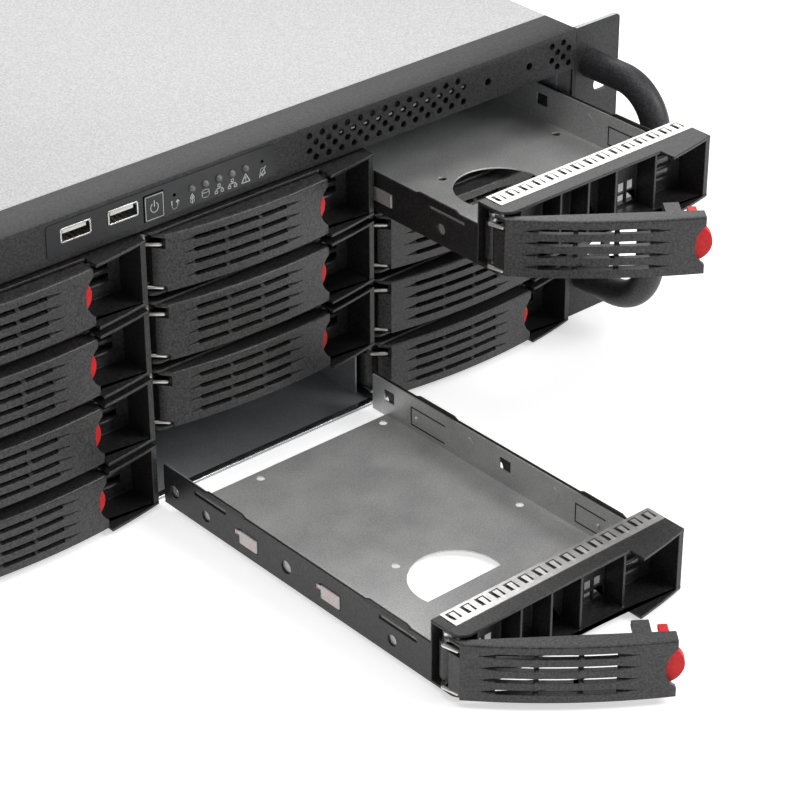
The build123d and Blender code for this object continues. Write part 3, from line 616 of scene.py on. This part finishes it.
class DressCarriers(bpy.types.Operator):
    """Frames, pans, earthing strips, levers, latches and springs of all sixteen carriers"""
    bl_idname = "chassis.dress_carriers"
    bl_label = "Dress carriers"

    def execute(self, context):
        shape = context.scene.lever_shape
        edge = context.scene.chassis_finish.edge_round
        moulding = local_copy("frame_c4", "c4")
        frame_details(moulding)
        rail_details(moulding)
        pan = local_copy("pan_c4", "c4")
        pan_details(pan)
        strip = bmesh.new()
        finger_strip(strip)
        leaves = bmesh.new()
        leaf_springs(leaves)
        lance_shade_bm = bmesh.new()
        lance_lines(lance_shade_bm)
        shell = lever_shell(shape)
        disc = bmesh.new()
        release_disc(disc)
        pin = bmesh.new()
        spring_and_pin(pin)
        for tag in TAGS:
            is_open = tag in OPEN_PULL
            old_frame = [f"frame_{tag}"] if is_open else [f"carrier_{tag}"]
            body = carrier_body(tag)
            make_piece(placed(moulding, tag), f"moulded_frame_{tag}", body, ["carrier"],
                       old_frame, edge=edge)
            make_piece(placed(pan, tag), f"steel_pan_{tag}", body, ["pan_zinc"],
                       [f"pan_{tag}"] if is_open else [], edge=edge / 2)
            make_piece(placed(leaves, tag), f"spring_leaf_{tag}", body, ["leaf"],
                       edge=0.5 * MM, segments=3)
            make_piece(placed(strip, tag), f"finger_strip_{tag}", body, ["spring"],
                       [f"emi_strip_{tag}"] if is_open else [])
            # Painted shade: thin dark strips lying on the pan walls where their lanced gaps are
            make_piece(placed(lance_shade_bm, tag), f"lance_shade_strip_{tag}", body, ["dark"])
            swing = lever_body(tag)
            make_piece(placed(shell, tag, True), f"lever_shell_{tag}", swing, ["lever"],
                       [f"lever_{tag}"], edge=edge * 0.5)
            latch_body = f"release_latch_{tag}" if is_open else swing
            press = 0.0 if is_open else -LATCH_PRESS
            make_piece(placed(disc, tag, True, press), f"thumb_disc_{tag}", latch_body, ["red"],
                       [f"release_latch_{tag}"] if is_open else [], edge=edge)
            make_piece(placed(pin, tag, True), f"hinge_spring_{tag}", swing, ["spring"],
                       [f"hinge_pin_{tag}"] if is_open else [])
        for source in (moulding, pan, strip, leaves, lance_shade_bm, shell, disc, pin):
            source.free()
        return {"FINISHED"}


def coat_nodes(plan):
    """Gives pieces of the construction model their finish and leaves their shape."""
    for node, finish in plan:
        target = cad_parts[node]
        target.data.materials.clear()
        target.data.materials.append(FINISH[finish])


def round_long_edges(bm, width, shortest):
    """Rounds the sharp edges that are longer than shortest."""
    edges = []
    for edge in bm.edges:
        long_enough = len(edge.link_faces) == 2 and edge.calc_length() > shortest
        if long_enough and edge.calc_face_angle() > math.radians(35):
            edges.append(edge)
    bmesh.ops.bevel(bm, geom=edges, offset=width, offset_type="OFFSET", segments=2, profile=0.5,
                    affect="EDGES", clamp_overlap=True, material=-1)


class DressCase(bpy.types.Operator):
    """Tub, cover, fascia, ears, handles, cage, fan wall, power supply and screws"""
    bl_idname = "chassis.dress_case"
    bl_label = "Dress case"

    def execute(self, context):
        edge = context.scene.chassis_finish.edge_round
        plan = (
            ("front_fascia", "strip_fascia", "chassis", "black_paint", "black_paint", edge * 1.6),
            ("top_cover", "roof_sheet", "cover", "grey_paint", "cover_paint", edge * 1.3),
            ("rack_ears", "ear_plates", "chassis", "black_paint", "black_paint", edge),
            ("screws", "screw_heads", "chassis", "screw", "screw_black", None),
        )
        for node, name, body, finish, slot, rounding in plan:
            mesh = solid_copy(node)
            if rounding:
                round_long_edges(mesh, rounding, 0.008)
            piece = make_piece(mesh, name, body, [finish, "zinc"], [node])
            if node == "rack_ears":
                # The upward faces at the top of the ears get bare zinc, a painted highlight for the bright
                # line along that edge
                ear_top = 0.13
                for face in piece.data.polygons:
                    if face.normal.z > 0.9 and face.center.z > ear_top:
                        face.material_index = 1
        # Bright rolled hem along the front of the floor
        hem = bmesh.new()
        hem_end = 215.6
        hem_height = 1.2
        rod(hem, (-hem_end, -0.4, hem_height), (hem_end, -0.4, hem_height), 1.6, 24)
        for vert in hem.verts:
            flatness = 0.16 if vert.co.z > hem_height else 0.6
            vert.co.z = hem_height + (vert.co.z - hem_height) * flatness
        make_piece(to_frame(hem), "floor_hem", "chassis", ["plated"])
        coat_nodes((
            ("drive_cage", "zinc"),
            ("chassis_tub", "zinc"),
            ("fan_wall", "zinc"),
            ("power_supply", "zinc"),
            ("ear_handles", "handle_paint"),
        ))
        return {"FINISHED"}


def stroke(bm, points, width, y0, y1):
    """Printed line through points given as x and z, in millimetres."""
    for (xa, za), (xb, zb) in zip(points, points[1:]):
        length = math.hypot(xb - xa, zb - za) + width * 0.6
        made = bmesh.ops.create_cube(bm, size=1.0)["verts"]
        bmesh.ops.scale(bm, verts=made, vec=(length, y1 - y0, width))
        turn = Matrix.Rotation(-math.atan2(zb - za, xb - xa), 3, "Y")
        bmesh.ops.rotate(bm, verts=made, cent=(0, 0, 0), matrix=turn)
        bmesh.ops.translate(bm, verts=made, vec=((xa + xb) / 2, (y0 + y1) / 2, (za + zb) / 2))


def arc(cx, cz, rx, rz, start, stop, steps=14):
    """Points along an arc, angles in degrees."""
    out = []
    for index in range(steps + 1):
        angle = math.radians(start + (stop - start) * index / steps)
        out.append((cx + rx * math.cos(angle), cz + rz * math.sin(angle)))
    return out


def box_line(x, z, half_width, half_height):
    """Corners of a rectangle round its middle, back to the first."""
    return [(x - half_width, z - half_height), (x + half_width, z - half_height),
            (x + half_width, z + half_height), (x - half_width, z + half_height),
            (x - half_width, z - half_height)]


def control_symbols(bm):
    """The plain symbols printed under the lights and beside the pinholes."""
    y0, y1 = -2.36, -2.3
    thin = 0.28
    low = 120.7
    # Power symbol in its thin frame, on the button
    x, z = 5.95, 123.2
    face = (-2.86, -2.8)
    stroke(bm, arc(x, z - 0.2, 1.7, 1.9, 125, 415), 0.36, *face)
    stroke(bm, [(x, z + 0.2), (x, z + 2.4)], 0.36, *face)
    stroke(bm, box_line(x, z, 3.9, 4.6), 0.2, *face)
    # Turning arrow under the reset pinhole
    x = 15.3
    turn = [(x - 1.3, low + 1.8), (x - 1.3, low)] + arc(x, low, 1.3, 1.6, 180, 360)
    stroke(bm, turn + [(x + 1.3, low + 1.4)], 0.36, y0, y1)
    stroke(bm, [(x + 0.6, low + 0.8), (x + 1.3, low + 1.8), (x + 2.0, low + 0.8)], thin, y0, y1)
    # Mains symbol
    x = 23.2
    stroke(bm, [(x, low - 2.0), (x, low + 1.0)], 0.34, y0, y1)
    tip = [(x - 1.0, low + 0.2), (x, low + 1.8), (x + 1.0, low + 0.2), (x - 1.0, low + 0.2)]
    stroke(bm, tip, thin, y0, y1)
    stroke(bm, arc(x, low - 0.9, 0.9, 0.8, 0, 360), thin, y0, y1)
    # Storage symbol
    x = 29.3
    stroke(bm, arc(x, low + 0.9, 1.6, 0.65, 0, 360), thin, y0, y1)
    stroke(bm, [(x - 1.6, low + 0.9), (x - 1.6, low - 0.9)] + arc(x, low - 0.9, 1.6, 0.65, 180, 360)
           + [(x + 1.6, low + 0.9)], thin, y0, y1)
    # Two network symbols
    for x in (35.5, 41.6):
        for dx, dz in ((0.0, 1.2), (-1.4, -1.2), (1.4, -1.2)):
            stroke(bm, box_line(x + dx, low + dz, 0.55, 0.5), thin, y0, y1)
        stroke(bm, [(x, low + 0.7), (x, low), (x - 1.4, low), (x - 1.4, low - 0.7)], thin, y0, y1)
        stroke(bm, [(x, low), (x + 1.4, low), (x + 1.4, low - 0.7)], thin, y0, y1)
    # Warning triangle
    x = 47.8
    triangle = [(x - 1.9, low - 1.5), (x + 1.9, low - 1.5), (x, low + 1.9), (x - 1.9, low - 1.5)]
    stroke(bm, triangle, 0.32, y0, y1)
    stroke(bm, [(x, low + 0.7), (x, low - 0.4)], 0.34, y0, y1)
    stroke(bm, [(x, low - 0.95), (x, low - 1.0)], 0.34, y0, y1)
    # Muted bell
    x = 55.6
    stroke(bm, [(x - 1.3, low - 0.9), (x - 0.9, low + 0.5)] + arc(x, low + 0.5, 0.9, 1.2, 180, 0, 8)
           + [(x + 1.3, low - 0.9), (x - 1.3, low - 0.9)], thin, y0, y1)
    stroke(bm, [(x - 0.3, low - 1.4), (x + 0.3, low - 1.4)], thin, y0, y1)
    stroke(bm, [(x - 1.5, low - 1.7), (x + 1.5, low + 2.0)], 0.3, y0, y1)


def to_frame(bm):
    """Turns a mesh drawn in frame millimetres to metres."""
    bmesh.ops.scale(bm, verts=bm.verts, vec=(MM, MM, MM))
    return bm


class DressControls(bpy.types.Operator):
    """Overlay film, symbols, sockets, lights, the power button and the pieces held inside"""
    bl_idname = "chassis.dress_controls"
    bl_label = "Dress controls"

    def execute(self, context):
        coat_nodes((
            ("control_overlay", "film"),
            ("indicator_lights", "lamp"),
            ("power_button", "button"),
            ("control_board", "board"),
            ("backplane", "board"),
            ("fan_frames", "fan"),
            ("fan_rotor_1", "fan"),
            ("fan_rotor_2", "fan"),
            ("fan_rotor_3", "fan"),
            ("slot_covers", "pan_zinc"),
        ))
        symbols = bmesh.new()
        control_symbols(symbols)
        make_piece(to_frame(symbols), "printed_symbols", "chassis", ["ink"])
        shells = bmesh.new()
        tongues = bmesh.new()
        contacts = bmesh.new()
        for x in SOCKET_PLACES:
            for x0, x1, z0, z1 in ((-6.6, 6.6, 2.3, 2.9), (-6.6, 6.6, -2.9, -2.3), (-6.6, -6.0, -2.9, 2.9),
                                   (6.0, 6.6, -2.9, 2.9)):
                block(shells, x + x0, x + x1, -2.6, 11.0, SOCKET_HEIGHT + z0, SOCKET_HEIGHT + z1)
            block(tongues, x - 5.0, x + 5.0, -1.6, 11.0, 125.3, 127.1)
            block(shells, x - 6.2, x + 6.2, 10.4, 11.0, 122.2, 127.8)
            for index in range(4):
                left = x - 3.9 + index * 2.2
                block(contacts, left, left + 1.2, -1.4, 8.0, 125.16, 125.3)
        make_piece(to_frame(shells), "socket_shells", "chassis", ["plated"],
                   ["usb_ports"], edge=0.0001)
        make_piece(to_frame(tongues), "socket_tongues", "chassis", ["white_plastic"])
        make_piece(to_frame(contacts), "socket_contacts", "chassis", ["gold"])
        return {"FINISHED"}


class BuildStage(bpy.types.Operator):
    """Camera, soft studio lamps and the pale floor"""
    bl_idname = "chassis.build_stage"
    bl_label = "Build stage"

    def execute(self, context):
        scene = context.scene
        settings = scene.chassis_stage
        data = bpy.data.cameras.new("view")
        data.lens = settings.lens
        data.sensor_width = 36.0
        data.clip_end = 50.0
        camera = bpy.data.objects.new("view", data)
        scene.collection.objects.link(camera)
        heading = Vector((math.sin(settings.azimuth) * math.cos(settings.elevation),
                          math.cos(settings.azimuth) * math.cos(settings.elevation),
                          -math.sin(settings.elevation)))
        camera.location = Vector(settings.camera_place)
        camera.rotation_euler = heading.to_track_quat("-Z", "Y").to_euler()
        scene.camera = camera
        bm = bmesh.new()
        bmesh.ops.create_grid(bm, x_segments=1, y_segments=1, size=6.0)
        bmesh.ops.translate(bm, verts=bm.verts, vec=(0.0, 0.0, -0.0004))
        mesh = bpy.data.meshes.new("studio_floor")
        bm.to_mesh(mesh)
        bm.free()
        floor = bpy.data.objects.new("studio_floor", mesh)
        scene.collection.objects.link(floor)
        material = bpy.data.materials.new("white_paper_floor")
        material.use_nodes = True
        tree = material.node_tree
        tree.nodes.clear()
        output = add_node(tree, "ShaderNodeOutputMaterial")
        paper = add_node(tree, "ShaderNodeBsdfDiffuse", {"Color": linear("#f2f2f2")})
        glow = add_node(tree, "ShaderNodeEmission", {"Color": (1.0, 1.0, 1.0, 1.0), "Strength": 0.55})
        path = add_node(tree, "ShaderNodeLightPath")
        seen = add_node(tree, "ShaderNodeMath", {"operation": "MAXIMUM"},
                        [(path.outputs["Is Camera Ray"], 0), (path.outputs["Is Glossy Ray"], 1)])
        through = add_node(tree, "ShaderNodeMath", {"operation": "MAXIMUM"},
                           [(seen.outputs["Value"], 0), (path.outputs["Is Transmission Ray"], 1)])
        dark = add_node(tree, "ShaderNodeEmission", {"Strength": 0.0})
        pick = add_node(tree, "ShaderNodeMixShader", links=[(through.outputs["Value"], "Fac"),
                                                           (dark.outputs["Emission"], 1),
                                                           (glow.outputs["Emission"], 2)])
        both = add_node(tree, "ShaderNodeAddShader",
                        links=[(paper.outputs["BSDF"], 0), (pick.outputs["Shader"], 1)])
        tree.links.new(both.outputs["Shader"], output.inputs["Surface"])
        mesh.materials.append(material)
        lamps = (
            ("front_right", (1.25, -1.35, 1.35), 0.9, 24.0),
            ("overhead", (-0.1, -0.3, 2.3), 1.2, 14.5),
            ("rear_screen", (1.35, 2.0, 1.7), 2.0, 32.0),
        )
        for name, place, size, power in lamps:
            light = bpy.data.lights.new(name, "AREA")
            light.shape = "SQUARE"
            light.size = size
            light.energy = power
            lamp = bpy.data.objects.new(name, light)
            lamp.location = place
            aim = Vector((0.0, 0.0, 0.05)) - Vector(place)
            lamp.rotation_euler = aim.to_track_quat("-Z", "Y").to_euler()
            scene.collection.objects.link(lamp)
        world = bpy.data.worlds.new("studio")
        world.use_nodes = True
        world.node_tree.nodes["Background"].inputs["Color"].default_value = (1.0, 1.0, 1.0, 1.0)
        world.node_tree.nodes["Background"].inputs["Strength"].default_value = 0.3
        scene.world = world
        scene.view_settings.view_transform = "Standard"
        return {"FINISHED"}


class ChassisPanel(bpy.types.Panel):
    """Lists the steps and the settings"""
    bl_idname = "VIEW3D_PT_chassis"
    bl_label = "Rackmount chassis"
    bl_space_type = "VIEW_3D"
    bl_region_type = "UI"
    bl_category = "Chassis"

    def draw(self, context):
        layout = self.layout
        for operator in OPERATORS:
            layout.operator(operator.bl_idname)
        for group in (context.scene.chassis_finish, context.scene.lever_shape, context.scene.chassis_stage):
            column = layout.column()
            for name in group.__annotations__:
                column.prop(group, name)


OPERATORS = (DressCase, DressControls, DressCarriers, BuildStage)
GROUPS = (ChassisFinish, LeverShape, StageSettings)


def register():
    for item in (*GROUPS, *OPERATORS, ChassisPanel):
        bpy.utils.register_class(item)
    bpy.types.Scene.chassis_finish = PointerProperty(type=ChassisFinish)
    bpy.types.Scene.lever_shape = PointerProperty(type=LeverShape)
    bpy.types.Scene.chassis_stage = PointerProperty(type=StageSettings)


def unregister():
    del bpy.types.Scene.chassis_stage
    del bpy.types.Scene.lever_shape
    del bpy.types.Scene.chassis_finish
    for item in reversed((*GROUPS, *OPERATORS, ChassisPanel)):
        bpy.utils.unregister_class(item)


def main():
    register()
    FINISH.update(materials())
    bpy.ops.chassis.dress_case()
    bpy.ops.chassis.dress_controls()
    bpy.ops.chassis.dress_carriers()
    bpy.ops.chassis.build_stage()


if __name__ == "__main__":
    main()
